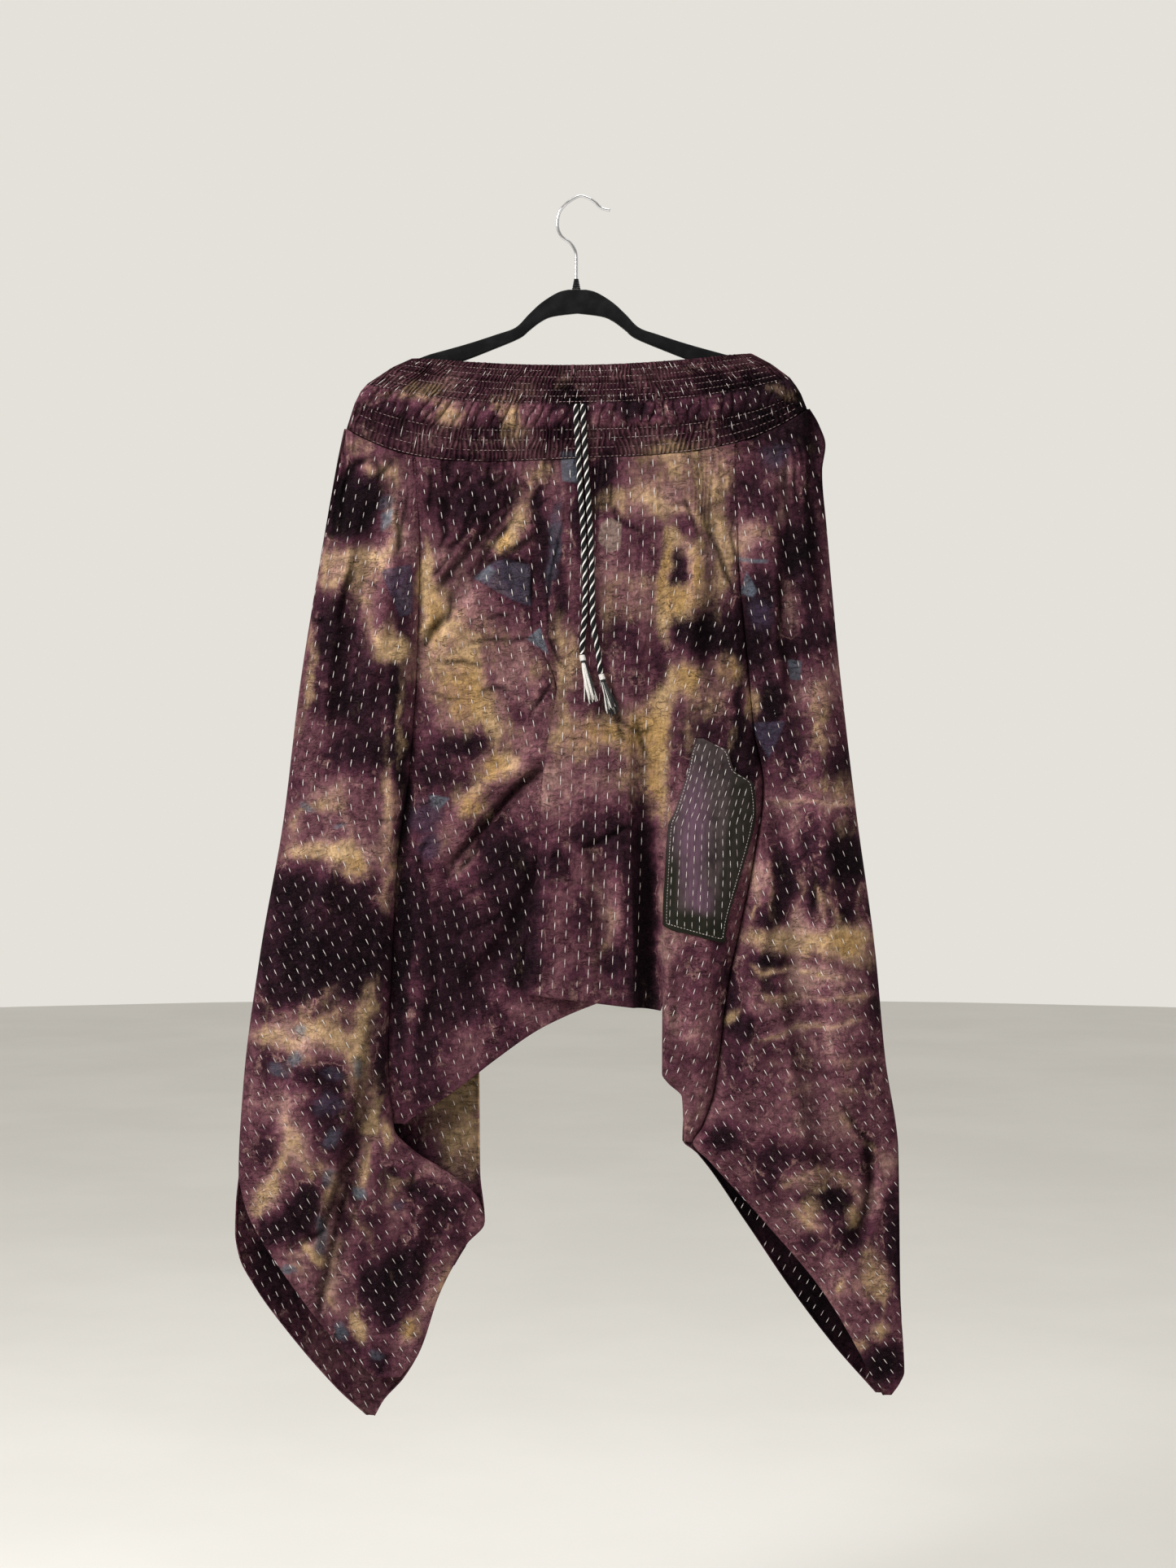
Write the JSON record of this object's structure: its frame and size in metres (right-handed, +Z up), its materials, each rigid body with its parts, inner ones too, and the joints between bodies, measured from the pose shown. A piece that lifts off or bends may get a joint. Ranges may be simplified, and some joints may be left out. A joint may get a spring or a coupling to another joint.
{
  "type": "harem pants on a hanger",
  "caption": "Loose quilted harem pants with a shirred yoke, a drawstring and slanted open hems, hung by the waist on a velvet hanger.",
  "frame": {"origin": "inner top of the hanger's hook, where the rail or peg touches it", "axes": "+Z up, +X to the viewer's right and -Y towards the viewer who faces the front of the pants"},
  "size_m": [0.6742, 0.0591, 1.2312],
  "materials": {
    "kantha_cloth": "over-dyed quilted cotton with running stitches",
    "yoke_cloth": "over-dyed quilted cotton gathered with elastic",
    "patch_cloth": "densely stitched grey cotton",
    "twisted_cord": "black and off-white twisted cotton cord",
    "black_velvet": "short flocked velvet",
    "chrome_wire": "polished"
  },
  "bodies": {
    "root": {"hanger_body": "black_velvet", "hanger_collar": "black_velvet", "hanger_hook": "chrome_wire", "waist_casing_front": "yoke_cloth", "waist_casing_back": "yoke_cloth", "yoke_front": "yoke_cloth", "yoke_back": "yoke_cloth", "centre_front": "kantha_cloth", "centre_back": "kantha_cloth", "left_leg_front": "kantha_cloth", "left_leg_back": "kantha_cloth", "right_leg_front": "kantha_cloth", "right_leg_back": "kantha_cloth", "patch": "patch_cloth", "drawstring_left": "twisted_cord", "drawstring_right": "twisted_cord", "tassel_left": "twisted_cord", "tassel_right": "twisted_cord"}
  },
  "joints": []
}
